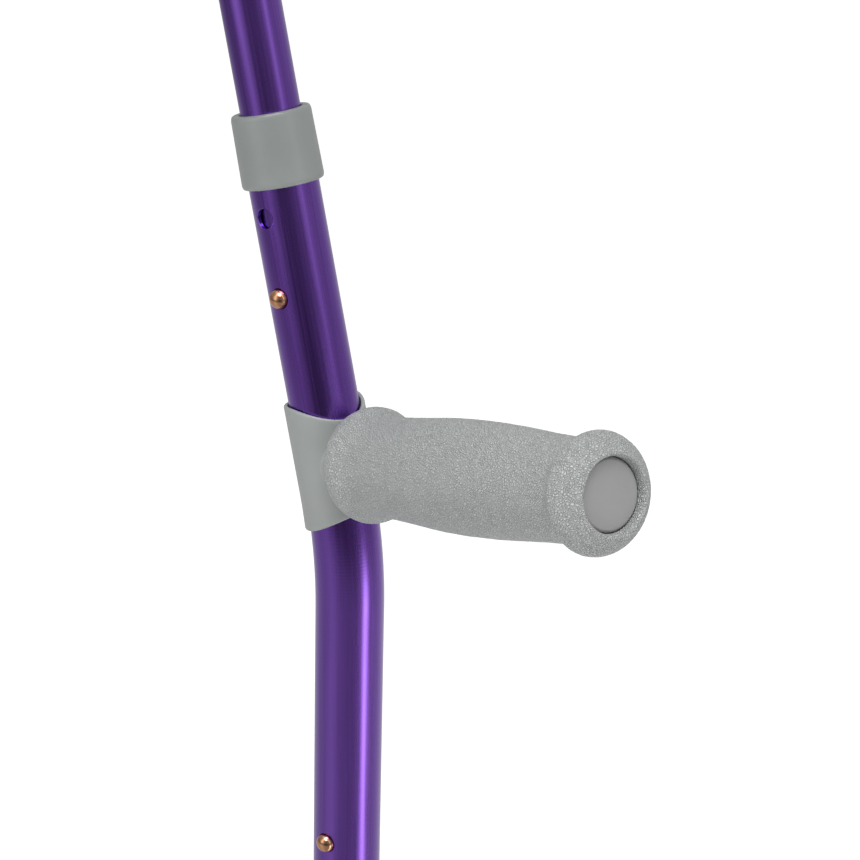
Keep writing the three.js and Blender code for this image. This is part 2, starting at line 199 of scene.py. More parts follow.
def moulded(name, color, rough, grain=0.05, rim_highlight=0.1, scale=1.0, coat=0.35):
    """Satin moulded plastic or coated metal: faint mottling, a fine skin, and rims painted lighter as a painted
    highlight.
    """
    m, nt, b = make_material(name)
    b.inputs["Coat Weight"].default_value = coat
    b.inputs["Coat Roughness"].default_value = 0.22
    v = object_coords(nt)
    mott = tex_noise(nt, v, 55.0 * scale, 4.0, 0.6)
    base = ramp(nt, mott, [(0.3, scaled(color, 0.955)), (0.7, scaled(color, 1.04))])
    geo = add_node(nt, "ShaderNodeNewGeometry")
    # painted highlight: rims and corners (found by pointiness) are painted lighter than the plastic's own colour
    edge = map_range(nt, geo.outputs["Pointiness"], 0.0, rim_highlight, 0.52, 0.60)
    nt.links.new(mix_color(nt, edge, base, scaled(color, 1.35)), b.inputs["Base Color"])
    fine = tex_noise(nt, v, 900.0 * scale, 2.0, 0.5)
    nt.links.new(map_range(nt, fine, rough - 0.05, rough + 0.07, 0.3, 0.7), b.inputs["Roughness"])
    wide = tex_noise(nt, v, 260.0 * scale, 3.0, 0.5)
    first = bump(nt, b, wide, grain, 0.0003)
    bump(nt, b, fine, grain, 0.00012, first)
    return m


def vinyl():
    """Soft grip skin with a pebbled leather grain, its creases darkened with painted shade."""
    color = (0.462, 0.482, 0.473)
    m, nt, b = make_material("grip_vinyl")
    v = object_coords(nt)
    warp = tex_noise(nt, v, 420.0, 2.0, 0.5)
    vor = add_node(nt, "ShaderNodeTexVoronoi")
    vor.feature = "DISTANCE_TO_EDGE"
    vor.inputs["Scale"].default_value = 1250.0
    vor.inputs["Randomness"].default_value = 1.0
    shift = add_node(nt, "ShaderNodeVectorMath")
    shift.operation = "MULTIPLY_ADD"
    nt.links.new(warp, shift.inputs[0])
    shift.inputs[1].default_value = (0.0009, 0.0009, 0.0009)
    nt.links.new(v, shift.inputs[2])
    nt.links.new(shift.outputs["Vector"], vor.inputs["Vector"])
    cell = map_range(nt, vor.outputs["Distance"], 0.0, 1.0, 0.0, 0.30)
    fine = tex_noise(nt, v, 1900.0, 3.0, 0.55)
    patch = tex_noise(nt, v, 120.0, 3.0, 0.6)
    base = ramp(nt, patch, [(0.3, scaled(color, 0.96)), (0.7, scaled(color, 1.04))])
    # painted shade: the grain's creases are painted darker than the skin's own colour
    painted_crease_shade = mix_color(nt, cell, scaled(color, 0.72), base)
    nt.links.new(painted_crease_shade, b.inputs["Base Color"])
    nt.links.new(map_range(nt, cell, 0.60, 0.36), b.inputs["Roughness"])
    first = bump(nt, b, cell, 1.0, 0.00036)
    second = bump(nt, b, fine, 0.30, 0.00016, first)
    bump(nt, b, patch, 0.22, 0.0006, second)
    return m


def rubber():
    color = (0.21, 0.215, 0.215)
    m, nt, b = make_material("grey_rubber")
    v = object_coords(nt)
    a = tex_noise(nt, v, 70.0, 5.0, 0.65)
    dust = tex_noise(nt, v, 600.0, 4.0, 0.7)
    base = ramp(nt, a, [(0.3, scaled(color, 0.88)), (0.7, scaled(color, 1.1))])
    nt.links.new(mix_color(nt, map_range(nt, dust, 0.0, 0.25, 0.55, 0.8), base, scaled(color, 1.7)), b.inputs["Base Color"])
    nt.links.new(map_range(nt, dust, 0.72, 0.92), b.inputs["Roughness"])
    bump(nt, b, dust, 0.18, 0.0002)
    return m


def metal(name, color, rough, brushed=False):
    m, nt, b = make_material(name)
    b.inputs["Metallic"].default_value = 1.0
    v = object_coords(nt, (1, 1, 0.15) if brushed else (1, 1, 1))
    a = tex_noise(nt, v, 1400.0, 4.0, 0.6)
    c = tex_noise(nt, object_coords(nt), 240.0, 3.0, 0.5)
    nt.links.new(ramp(nt, c, [(0.3, scaled(color, 0.86)), (0.7, scaled(color, 1.06))]), b.inputs["Base Color"])
    nt.links.new(map_range(nt, a, rough - 0.05, rough + 0.1, 0.3, 0.7), b.inputs["Roughness"])
    bump(nt, b, a, 0.08, 0.00005)
    return m


MAT = {
    "tube": anodised(),
    "plastic": moulded("collar_plastic", (0.228, 0.245, 0.237), 0.34),
    "plug": moulded("plug_plastic", (0.284, 0.284, 0.284), 0.42, grain=0.03, rim_highlight=0.25),
    "saddle": moulded("saddle_coat", (0.280, 0.297, 0.288), 0.40, grain=0.06, rim_highlight=0.3),
    "cuff": moulded("cuff_plastic", (0.270, 0.287, 0.278), 0.46, grain=0.10),
    "grip": vinyl(),
    "rubber": rubber(),
    "copper": metal("copper_button", (0.86, 0.45, 0.26), 0.13),
    "steel": metal("zinc_steel", (0.60, 0.61, 0.63), 0.30),
    "spring": metal("spring_steel", (0.40, 0.41, 0.43), 0.32, True),
    "nylon": moulded("nylon", (0.74, 0.74, 0.70), 0.4, grain=0.04),
}


# ------------------------------------------------------------------ mesh tools
def piece(name, verts, faces, material, body, node=None, matrix=None, sharp=38.0, attrs=None):
    me = bpy.data.meshes.new(name)
    v = np.asarray(verts, float)
    rest = (np.asarray(attrs, float) if attrs is not None else v) * MM
    if matrix is not None:
        m = np.array(matrix)
        v = v @ m[:3, :3].T + m[:3, 3]
    me.from_pydata((v * MM).tolist(), [], [list(f) for f in faces])
    bm = bmesh.new()
    bm.from_mesh(me)
    bmesh.ops.recalc_face_normals(bm, faces=bm.faces)
    bm.to_mesh(me)
    bm.free()
    me.validate()
    a = me.attributes.new("rest", "FLOAT_VECTOR", "POINT")
    a.data.foreach_set("vector", rest.astype(np.float32).ravel())
    me.polygons.foreach_set("use_smooth", [True] * len(me.polygons))
    me.set_sharp_from_angle(angle=math.radians(sharp))
    o = bpy.data.objects.new(name, me)
    bpy.context.collection.objects.link(o)
    me.materials.append(material)
    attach(o, body)
    if node:
        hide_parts(node)
    return o


def rounded(points, closed=False, steps=5):
    """points: (x, y) or (x, y, radius). Corners with a radius become arcs."""
    out, n = [], len(points)
    for i, p in enumerate(points):
        r = p[2] if len(p) > 2 else 0
        if not r or (not closed and i in (0, n - 1)):
            out.append((p[0], p[1]))
            continue
        a, c = np.array(points[i - 1][:2], float), np.array(points[(i + 1) % n][:2], float)
        b = np.array(p[:2], float)
        u, w = (a - b) / np.linalg.norm(a - b), (c - b) / np.linalg.norm(c - b)
        half = math.acos(max(-1, min(1, float(u @ w)))) / 2
        if abs(half - math.pi / 2) < 1e-3:
            out.append(tuple(b))
            continue
        d = min(r / math.tan(half), 0.49 * np.linalg.norm(a - b), 0.49 * np.linalg.norm(c - b))
        rr = d * math.tan(half)
        centre = b + (u + w) / np.linalg.norm(u + w) * (rr / math.sin(half))
        s, e = b + u * d - centre, b + w * d - centre
        for k in range(steps + 1):
            t = k / steps
            ang = math.acos(max(-1, min(1, float(s @ e) / rr ** 2)))
            if ang < 1e-6:
                q = s
            else:
                q = (math.sin((1 - t) * ang) * s + math.sin(t * ang) * e) / math.sin(ang)
            out.append(tuple(centre + q))
    return out


def spline(points, per=10):
    """Smooth open curve through the points (Catmull-Rom, centripetal enough for these)."""
    p = [np.array(q, float) for q in points]
    p = [2 * p[0] - p[1]] + p + [2 * p[-1] - p[-2]]
    out = []
    for i in range(1, len(p) - 2):
        for k in range(per):
            t = k / per
            a, b, c, d = p[i - 1], p[i], p[i + 1], p[i + 2]
            out.append(tuple(0.5 * ((2 * b) + (c - a) * t + (2 * a - 5 * b + 4 * c - d) * t * t + (3 * b - a - 3 * c + d) * t ** 3)))
    out.append(tuple(p[-2]))
    return out


def revolve(profile, seg=96, closed=False, radius=None):
    """profile: (r, z). radius(r, z, angle) may change a point's radius."""
    verts, rings = [], []
    for r, z in profile:
        if abs(r) < 1e-6:
            rings.append([len(verts)])
            verts.append((0, 0, z))
            continue
        ring = []
        for i in range(seg):
            a = 2 * math.pi * i / seg
            q = radius(r, z, a) if radius else r
            ring.append(len(verts))
            verts.append((q * math.cos(a), q * math.sin(a), z))
        rings.append(ring)
    faces = []
    pairs = list(zip(rings[:-1], rings[1:])) + ([(rings[-1], rings[0])] if closed else [])
    for a, b in pairs:
        for i in range(seg):
            j = (i + 1) % seg
            if len(a) == 1 and len(b) == 1:
                continue
            if len(a) == 1:
                faces.append((a[0], b[j], b[i]))
            elif len(b) == 1:
                faces.append((a[i], a[j], b[0]))
            else:
                faces.append((a[i], a[j], b[j], b[i]))
    return verts, faces


def join(*parts):
    verts, faces = [], []
    for v, f in parts:
        k = len(verts)
        verts += [tuple(p) for p in v]
        faces += [tuple(i + k for i in q) for q in f]
    return verts, faces


def placed(part, m):
    v, f = part
    a = np.array(m)
    return (np.asarray(v, float) @ a[:3, :3].T + a[:3, 3]).tolist(), f


COLS = 72


def tube_shell(R, Ri, w0, w1, holes, step=9.0, fine=None):
    """Straight tube along +Z with round holes at (z, degrees, radius), as one clean quad mesh."""
    pitch = R * math.radians(360 / COLS)
    rows = set()
    for z, _, _ in holes:
        rows.update(round(z + (k - 6) * pitch, 4) for k in range(13))
    rows.update([round(w0 + 0.35, 4), round(w1 - 0.35, 4)])
    rows = sorted(rows)
    full = [rows[0]]
    for z in rows[1:]:
        gap = z - full[-1]
        lim = 2.6 if fine and fine[0] < (z + full[-1]) / 2 < fine[1] else step
        n = max(1, int(math.ceil(gap / lim)))
        if gap > pitch * 1.01 and n > 1:
            full += [full[-1] + gap * k / n for k in range(1, n)]
        full.append(z)
    if fine:
        keep = [z for z in full]
        extra = []
        for a, b in zip(keep[:-1], keep[1:]):
            extra.append(a)
            if b - a > 3.0 and not (b < fine[0] or a > fine[1]):
                n = int(math.ceil((b - a) / 2.6))
                extra += [a + (b - a) * k / n for k in range(1, n)]
        full = extra + [keep[-1]]
    verts, faces = [], []

    def grid(rad):
        base = len(verts)
        for z in full:
            for c in range(COLS):
                a = 2 * math.pi * c / COLS
                verts.append((rad * math.cos(a), rad * math.sin(a), z))
        return base

    out, inn = grid(R), grid(Ri)
    cut, patches = set(), []
    for z, deg, hr in holes:
        r0 = min(range(len(full)), key=lambda i: abs(full[i] - (z - 6 * pitch)))
        c0 = int(round(deg / (360 / COLS))) - 6
        cut.update((r0 + i, (c0 + j) % COLS) for i in range(12) for j in range(12))
        patches.append((z, math.radians(deg), hr, r0, c0))
    for i in range(len(full) - 1):
        for j in range(COLS):
            if (i, j) in cut:
                continue
            k = (j + 1) % COLS
            for b in (out, inn):
                faces.append((b + i * COLS + j, b + i * COLS + k, b + (i + 1) * COLS + k, b + (i + 1) * COLS + j))
    for z, a0, hr, r0, c0 in patches:
        loop = [(r0, c0 + j) for j in range(12)] + [(r0 + i, c0 + 12) for i in range(12)]
        loop += [(r0 + 12, c0 + 12 - j) for j in range(12)] + [(r0 + 12 - i, c0) for i in range(12)]
        uw = []
        for i, j in loop:
            u = (j - c0 - 6) * pitch
            uw.append((u, full[i] - z))
        rings = []

        def ring(rad, t, rr):
            ids = []
            for u, w in uw:
                n = math.hypot(u, w)
                cu, cw = u / n * rr, w / n * rr
                pu, pw = cu + (u - cu) * t, cw + (w - cw) * t
                ang = a0 + pu / R
                ids.append(len(verts))
                verts.append((rad * math.cos(ang), rad * math.sin(ang), z + pw))
            return ids

        rings.append([out + i * COLS + (j % COLS) for i, j in loop])
        for t in (0.62, 0.3):
            rings.append(ring(R, t, hr + 0.22))
        rings.append(ring(R, 0, hr + 0.22))
        rings.append(ring(R - 0.2, 0, hr))
        rings.append(ring(Ri + 0.15, 0, hr))
        rings.append(ring(Ri, 0, hr + 0.15))
        rings.append(ring(Ri, 0.4, hr + 0.15))
        rings.append([inn + i * COLS + (j % COLS) for i, j in loop])
        for a, b in zip(rings[:-1], rings[1:]):
            for i in range(48):
                k = (i + 1) % 48
                faces.append((a[i], a[k], b[k], b[i]))
    for end, z, zi in ((0, w0, full[0]), (len(full) - 1, w1, full[-1])):
        prof = [(R, None), (R - 0.12, z + (zi - z) * 0.35), (R - 0.35, z), (Ri + 0.3, z), (Ri, None)]
        ids = [[out + end * COLS + j for j in range(COLS)]]
        for r, zz in prof[1:-1]:
            ids.append([])
            for c in range(COLS):
                a = 2 * math.pi * c / COLS
                ids[-1].append(len(verts))
                verts.append((r * math.cos(a), r * math.sin(a), zz))
        ids.append([inn + end * COLS + j for j in range(COLS)])
        for a, b in zip(ids[:-1], ids[1:]):
            for i in range(COLS):
                k = (i + 1) % COLS
                faces.append((a[i], a[k], b[k], b[i]))
    return verts, faces


# ------------------------------------------------------------------ main shaft
def smoothstep(x):
    x = max(0.0, min(1.0, x))
    return x * x * (3 - 2 * x)


T = BEND_R * math.tan(LEAN / 2)
ARC0, ARC1 = BEND_Z - T, BEND_Z - T + BEND_R * LEAN


def along(w_of_s):
    return ARC1 + (w_of_s - T)


def twisted(p, degrees):
    a = math.radians(degrees)
    return (p[0] * math.cos(a) - p[1] * math.sin(a), p[0] * math.sin(a) + p[1] * math.cos(a), p[2])


def bend(p):
    # the rows of holes in the lower part sit a little further round than those above the bend
    x, y, w = twisted(p, (LOWER_BUTTON - UPPER_BUTTON) * (1 - smoothstep((p[2] - LEG_HOLE - 12) / 60)))
    if w <= ARC0:
        return (x, y, w)
    if w < ARC1:
        f = (w - ARC0) / BEND_R
        return (-BEND_R + (BEND_R + x) * math.cos(f), y, ARC0 + (BEND_R + x) * math.sin(f))
    s = T + (w - ARC1)
    return (x * math.cos(LEAN) - s * math.sin(LEAN), y, BEND_Z + x * math.sin(LEAN) + s * math.cos(LEAN))


holes = [(LEG_HOLE - i * PITCH, -80, HOLE_R) for i in range(10)]
holes += [(along(UPPER_HOLE + i * PITCH), -80, HOLE_R) for i in range(2)]
holes += [(along(GRIP_S), 0, 3.35), (along(GRIP_S), 180, 3.35)]
v, f = tube_shell(TUBE_R, TUBE_BORE, SHAFT_END, along(SHAFT_TOP), holes, fine=(ARC0 - 2, ARC1 + 2))
piece("shaft_tube", [bend(p) for p in v], f, MAT["tube"], "shaft", "main_tube", sharp=24, attrs=v)

# ------------------------------------------------------------------ sliding tubes
v, f = tube_shell(INNER_R, INNER_BORE, UPPER_HOLE - 22, CUFF_S + 18.7, [(UPPER_HOLE, -80, 3.3)])
piece("cuff_slide_tube", v, f, MAT["tube"], "cuff_tube", "upper_tube", LEAN_M, 24)
v, f = tube_shell(INNER_R, INNER_BORE, 14.1, BEND_Z - 85, [(LEG_HOLE, -80, 3.3)])
v = [twisted(q, LOWER_BUTTON - UPPER_BUTTON) for q in v]
piece("leg_slide_tube", v, f, MAT["tube"], "leg", "leg_tube", None, 24)

# ------------------------------------------------------------------ collars
LC = COLLAR_HIGH - COLLAR_LOW
collar = rounded([
    (11.5, 0.0, 0.25), (12.75, 0.0, 0.8), (13.0, 1.3, 0.8), (12.66, LC - 1.5, 2.5), (12.3, LC, 1.1), (10.0, LC, 0.45),
    (9.9, LC - 0.9, 0.2), (9.9, LC - 2.6), (11.5, LC - 2.6)], True, 6)
for name, node, m in (("upper_end_ring", "upper_collar", LEAN_M @ Matrix.Translation((0, 0, COLLAR_LOW))),
                      ("lower_end_ring", "lower_collar", Matrix.Translation((0, 0, SHAFT_END - 3.1 + LC)) @ Matrix.Rotation(math.pi, 4, "X"))):
    v, f = revolve(collar, 96, True)
    piece(name, v, f, MAT["plastic"], "shaft", node, m, 50)


# ------------------------------------------------------------------ saddle
def edge_top(deg):
    return 20.3 - 5.6 * (1 - smoothstep(abs(deg) / 105))


def edge_low(deg):
    return -20.3 + 4.4 * (1 - smoothstep(abs(deg) / 105))


def saddle_mesh():
    Ro, Rb, n, verts, faces = 12.8, 11.55, 128, [], []
    rows = 26
    loops = []
    for i in range(n):
        deg = -180 + 360 * i / n
        a = math.radians(deg)
        hi, lo = edge_top(deg), edge_low(deg)
        # gentle roll of the rim: top and bottom edges rounded on the outer and inner faces
        prof = []
        for k in range(rows + 1):
            z = lo + 0.45 + (hi - lo - 0.9) * k / rows
            prof.append((Ro, z))
        prof += [(Ro - 0.12, hi - 0.14), (Ro - 0.45, hi), (Rb + 0.4, hi), (Rb + 0.1, hi - 0.12)]
        for k in range(7):
            prof.append((Rb, hi - 0.5 - (hi - lo - 1.0) * k / 6))
        prof += [(Rb + 0.1, lo + 0.12), (Rb + 0.4, lo), (Ro - 0.45, lo), (Ro - 0.12, lo + 0.14)]
        ids = []
        for r, z in prof:
            d = max(0.0, T - GRIP_S - z)
            ids.append(len(verts))
            verts.append((r * math.cos(a) - d * d / (2 * BEND_R), r * math.sin(a), z))
        loops.append(ids)
    m = len(loops[0])
    for i in range(n):
        a, b = loops[i], loops[(i + 1) % n]
        for k in range(m):
            q = (k + 1) % m
            faces.append((a[k], b[k], b[q], a[q]))
    return verts, faces


stub = revolve([(7.9, 12.6), (9.5, 12.4), (9.5, 130.6), (9.2, 131.0), (8.1, 131.0), (7.9, 130.7)], 64, True)
weld_pts = rounded([(9.45, 12.3), (11.6, 12.45, 0.8), (9.45, 14.9)], True, 5)


def weld():
    """Fillet bead where the stub meets the curved saddle."""
    verts, faces, n, m = [], [], 72, 10
    for i in range(n):
        a = 2 * math.pi * i / n
        for k in range(m):
            b = 2 * math.pi * k / m
            r = 9.9 + 0.95 * math.cos(b) * (1 + 0.10 * math.sin(a * 23))
            y, z = r * math.sin(a), r * math.cos(a)
            x = math.sqrt(max(0, 12.8 ** 2 - y * y)) - 0.1 + 0.95 * math.sin(b) * 0.8
            verts.append((x, y, z))
    for i in range(n):
        for k in range(m):
            faces.append((i * m + k, ((i + 1) % n) * m + k, ((i + 1) % n) * m + (k + 1) % m, i * m + (k + 1) % m))
    return verts, faces


v, f = join(saddle_mesh(), placed(stub, ALONG_X), weld())
piece("grip_bracket", v, f, MAT["saddle"], "shaft", "handle_saddle", GRIP_M, 50)

# ------------------------------------------------------------------ grip
barrel = [(16.25, 27.4), (15.95, 29.8), (15.9, 33.0), (15.98, 37.2), (16.3, 43.5), (16.85, 52.5), (17.3, 60), (17.55, 69), (17.52, 77), (17.3, 86), (16.85, 95), (16.35, 103), (15.9, 111), (15.66, 117.5)]
profile = rounded([(9.85, 15.6), (13.0, 15.5)]) + spline([(13.0, 15.5), (15.3, 16.05), (17.0, 17.6), (18.0, 19.6), (18.4, 21.9), (17.95, 23.8), (17.0, 25.5)] + barrel +
    [(15.66, 121.0), (15.72, 123.1), (16.35, 124.8), (17.45, 126.3), (18.15, 127.7), (18.35, 129.1), (17.9, 130.9), (17.0, 132.5), (15.5, 134.15), (14.1, 135.4), (13.0, 136.4), (12.2, 136.72), (11.7, 136.5), (11.35, 135.9)], 8)[1:]
profile = [tuple(p) for p in profile] + [(11.15, 135.2), (11.12, 131.4), (9.85, 131.3), (9.85, 100), (9.85, 60)]


def resample(points, step, start, stop):
    """Points between two indices, resampled evenly."""
    p = np.array(points[start:stop], float)
    d = np.r_[0, np.cumsum(np.linalg.norm(np.diff(p, axis=0), axis=1))]
    n = int(d[-1] / step)
    t = np.linspace(0, d[-1], n + 1)
    q = np.c_[np.interp(t, d, p[:, 0]), np.interp(t, d, p[:, 1])]
    return points[:start] + [tuple(x) for x in q] + points[stop:]


n_tail = 5
step = 0.42
profile = resample(profile, step, 1, len(profile) - n_tail)
v, f = revolve(profile, 264, True)
V = np.array(v)
rad = np.hypot(V[:, 0], V[:, 1])
disp = np.zeros(len(V))
for i, p in enumerate(V):
    z, r = p[2], rad[i]
    if r < 11.6:
        continue
    fade = smoothstep((r - 11.5) / 1.2)
    q = Vector((p[0], p[1], z)) / 1.7
    q += Vector((noise.noise(q * 0.9), noise.noise(q * 0.9 + Vector((7, 3, 1))), noise.noise(q * 0.9 + Vector((1, 9, 4))))) * 0.55
    d, _ = noise.voronoi(q, distance_metric="DISTANCE", exponent=2.5)
    cell = min(1.0, (d[1] - d[0]) / 0.35)
    disp[i] = fade * (0.085 * (cell - 1) + 0.05 * noise.noise(Vector((p[0], p[1], z)) / 5.0))
# push along the profile's normal, taken from radius and height
cen = np.zeros_like(V)
mask = rad > 1
nz = np.zeros(len(V))
for end, lo in ((136.7, 128.6), (15.5, 22.0)):
    t = np.clip((V[:, 2] - lo) / (end - lo), 0, 1)
    nz += np.where(t > 0, t ** 1.6 * (1 if end > 100 else -1), 0)
nr = np.sqrt(np.clip(1 - nz ** 2, 0, 1))
V[mask, 0] += disp[mask] * nr[mask] * V[mask, 0] / rad[mask]
V[mask, 1] += disp[mask] * nr[mask] * V[mask, 1] / rad[mask]
V[mask, 2] += disp[mask] * nz[mask]
piece("hand_grip", V, f, MAT["grip"], "shaft", "grip_sleeve", GRIP_M @ ALONG_X, 55)

plug = rounded([(0, 134.3), (10.2, 134.3, 0.8), (10.85, 133.6, 0.3), (10.85, 131.65, 0.1), (7.55, 131.65), (7.55, 120.2, 0.2), (5.5, 120.2, 0.2), (5.5, 131.2), (0, 131.6)], False, 6)
v, f = revolve(plug, 96)
piece("grip_plug", v, f, MAT["plug"], "shaft", "grip_end_plug", GRIP_M @ ALONG_X, 50)

# ------------------------------------------------------------------ bolt through the saddle
H0 = 13.1


def hexed(r, z, a):
    if r < 2.3 and z > 0:
        return 2.0 / math.cos(((a + math.pi / 6) % (math.pi / 3)) - math.pi / 6)
    return r


bolt = rounded([(0, -21), (2.6, -21, 0.1), (3.0, -20.5), (3.0, H0), (5.55, H0, 0.25), (5.5, H0 + 1.0, 0.8), (4.6, H0 + 2.5, 1.2), (3.0, H0 + 3.25, 0.8), (2.5, H0 + 3.35), (2.2, H0 + 3.1), (2.2, H0 + 1.4), (0, H0 + 1.4)], False, 5)
v, f = revolve(bolt, 96, False, hexed)
piece("saddle_bolt", v, f, MAT["steel"], "shaft", "handle_bolt", GRIP_M @ Matrix.Rotation(-math.pi / 2, 4, "Y"), 35)

# ------------------------------------------------------------------ snap buttons
dome = [(0, 7.8), (2.9, 7.8), (3.1, 8.0), (3.1, 11.35)]
dome += [(3.1 * math.cos(t), 11.35 + 2.5 * math.sin(t)) for t in np.linspace(0.08, math.pi / 2 - 0.02, 14)] + [(0, 13.86)]
for name, node, body, m in (("upper_button", "upper_snap_button", "upper_button", LEAN_M @ radial(UPPER_HOLE, UPPER_BUTTON)),
                            ("lower_button", "lower_snap_button", "lower_button", radial(LEG_HOLE, LOWER_BUTTON))):
    v, f = revolve(dome, 48)
    piece(name + "_dome", v, f, MAT["copper"], body, node, m, 50)

# ------------------------------------------------------------------ cuff
CB, CW, CLO, CHI, HALF = 31.0, 3.2, -37.0, 39.0, 134.0


def cuff_mesh():
    nu, nv, verts, loops = 150, 30, [], []
    arc_r = 46.0

    def station(deg, thick):
        e = max(0.0, (abs(deg) - (HALF - 34)) / 34)
        drop = 1 - math.sqrt(max(0.0, 1 - min(1, e) ** 2))
        zl = CLO + 20 * drop
        zt = CHI - 23 * drop - 3 * smoothstep(1 - abs(deg) / 90)
        a = math.radians(180 - deg)
        ids, loop = [], []
        h = thick / 2
        rim = 1.0
        def pt(z, off):
            t = (z - CLO) / (CHI - CLO)
            ri = 43.5 + 6.0 * t
            r = ri + CW / 2 + off
            return (CB + CW + ri + r * math.cos(a), r * math.sin(a), z)
        for k in range(nv + 1):
            t = k / nv
            z = zl + h + (zt - zl - 2 * h) * t
            d = min(z - zl, zt - z)
            bead = 0.0 if thick < CW else 0.30 * (1 - smoothstep((d - 2.2) / 1.6)) - 0.30
            loop.append(pt(z, h + bead))
        for k in range(1, 8):
            b = math.pi * k / 8
            loop.append(pt(zt - h + h * math.sin(b), h * math.cos(b)))
        for k in range(nv + 1):
            t = 1 - k / nv
            z = zl + h + (zt - zl - 2 * h) * t
            loop.append(pt(z, -h))
        for k in range(1, 8):
            b = math.pi * k / 8
            loop.append(pt(zl + h - h * math.sin(b), -h * math.cos(b)))
        for p in loop:
            ids.append(len(verts))
            verts.append(p)
        return ids

    stations = []
    for i in range(nu + 1):
        t = -1 + 2 * i / nu
        stations.append((HALF * t, CW))
    # round the two free ends
    tip = []
    for k in range(1, 7):
        b = math.pi / 2 * k / 6
        tip.append((math.degrees(CW / 2 * math.sin(b) / arc_r), max(0.06, CW * math.cos(b))))
    lift = math.degrees(CW / 2 / arc_r)
    stations = [(d * (HALF - lift) / HALF, t) for d, t in stations]
    left = [(-(HALF - lift) - d, t) for d, t in tip][::-1]
    right = [((HALF - lift) + d, t) for d, t in tip]
    stations = left + stations + right
    for d, t in stations:
        loops.append(station(d, t))
    faces, m = [], len(loops[0])
    for a, b in zip(loops[:-1], loops[1:]):
        for k in range(m):
            q = (k + 1) % m
            faces.append((a[k], b[k], b[q], a[q]))
    faces.append(tuple(loops[0]))
    faces.append(tuple(loops[-1][::-1]))
    return verts, faces


def plate(outline, w, bevel=0.6, steps=4):
    """Flat plate in X-Z, width w along Y, with rounded rims. outline: (x, z) loop."""
    o = np.array(outline, float)
    n = len(o)
    nxt, prv = np.roll(o, -1, 0), np.roll(o, 1, 0)
    tan = nxt - prv
    tan /= np.linalg.norm(tan, axis=1)[:, None]
    nor = np.c_[tan[:, 1], -tan[:, 0]]
    area = 0.5 * np.sum(o[:, 0] * nxt[:, 1] - nxt[:, 0] * o[:, 1])
    if area < 0:
        nor = -nor
    verts, rings = [], []
    sections = []
    for k in range(steps + 1):
        b = math.pi / 2 * k / steps
        sections.append((-w / 2 + bevel * (1 - math.sin(b)), bevel * (1 - math.cos(b)) if False else bevel * (1 - math.sin(math.pi / 2 - 0) * 0)))
    sections = []
    for k in range(steps + 1):
        b = math.pi / 2 * k / steps
        sections.append((-w / 2 + bevel * (1 - math.cos(b)), bevel * (1 - math.sin(b))))
    sections = sections + [(-y, i) for y, i in sections[::-1]]
    for y, inset in sections:
        ring = []
        for p, q in zip(o, nor):
            r = p - q * inset
            ring.append(len(verts))
            verts.append((r[0], y, r[1]))
        rings.append(ring)
    faces = []
    for a, b in zip(rings[:-1], rings[1:]):
        for i in range(n):
            j = (i + 1) % n
            faces.append((a[i], a[j], b[j], b[i]))
    faces.append(tuple(rings[0]))
    faces.append(tuple(rings[-1][::-1]))
    return verts, faces


def lug(r, x1, h):
    d = 1 if x1 > PIVOT_X else -1
    arc = [(PIVOT_X + r * math.cos(t), r * math.sin(t)) for t in np.linspace(math.pi / 2, math.pi / 2 + d * math.pi, 28)]
    return [(x1, -h)] + [(x1 + (PIVOT_X - x1) * 0, -h)] * 0 + [(x1, h)] + arc


cuff_lug = placed(plate(lug(6.6, CB + 1.6, 13.0), 9.8, 0.7), Matrix.Identity(4))
web = []
v, f = join(cuff_mesh(), cuff_lug)
piece("arm_cuff", v, f, MAT["cuff"], "cuff", "cuff_shell", CUFF_M, 40)

cap = rounded([(9.9, -24.0, 0.3), (11.6, -24.0, 0.9), (12.3, -22.8, 0.8), (12.3, 19.0, 3.0), (11.2, 22.8, 3.0), (7.5, 25.3, 4.0), (0, 25.8)], False, 6) + [(0, 19.0), (9.9, 19.0)]
v, f = revolve(cap, 96, True)
ears = []
for side in (-1, 1):
    ears.append(placed(plate(lug(7.6, 6.0, 15.0), 4.0, 0.7), Matrix.Translation((0, side * 8.3, 0))))
rib = placed(plate([(10.5, -15), (14.0, -13.2), (14.0, 13.2), (10.5, 15)], 12.0, 0.6), Matrix.Identity(4))
v, f = join((v, f), *ears)
piece("cuff_cap", v, f, MAT["plastic"], "cuff_tube", "cuff_bracket", CUFF_M, 40)


def rivet_profile(r, half, hr, hh):
    head = [(hr * math.cos(t), half + hh * math.sin(t) * 1.0) for t in np.linspace(0.25, math.pi / 2 - 0.05, 9)]
    up = [(r, 0), (r, half), (hr - 0.1, half), (hr, half + 0.15)] + head + [(0, half + hh)]
    return [(a, -b) for a, b in up[::-1]][:-1] + up[1:]


v, f = revolve(rivet_profile(3.0, 10.65, 5.2, 2.3), 64)
piece("cuff_hinge_pin", v, f, MAT["steel"], "cuff_tube", "cuff_pivot_pin", CUFF_M @ Matrix.Translation((PIVOT_X, 0, 0)) @ ALONG_Y, 40)
v, f = revolve(rivet_profile(2.2, 12.6, 3.6, 1.6), 64)
piece("cap_rivet", v, f, MAT["steel"], "cuff_tube", "cuff_bracket_rivet", CUFF_M @ Matrix.Translation((0, 0, -13)) @ ALONG_Y, 40)

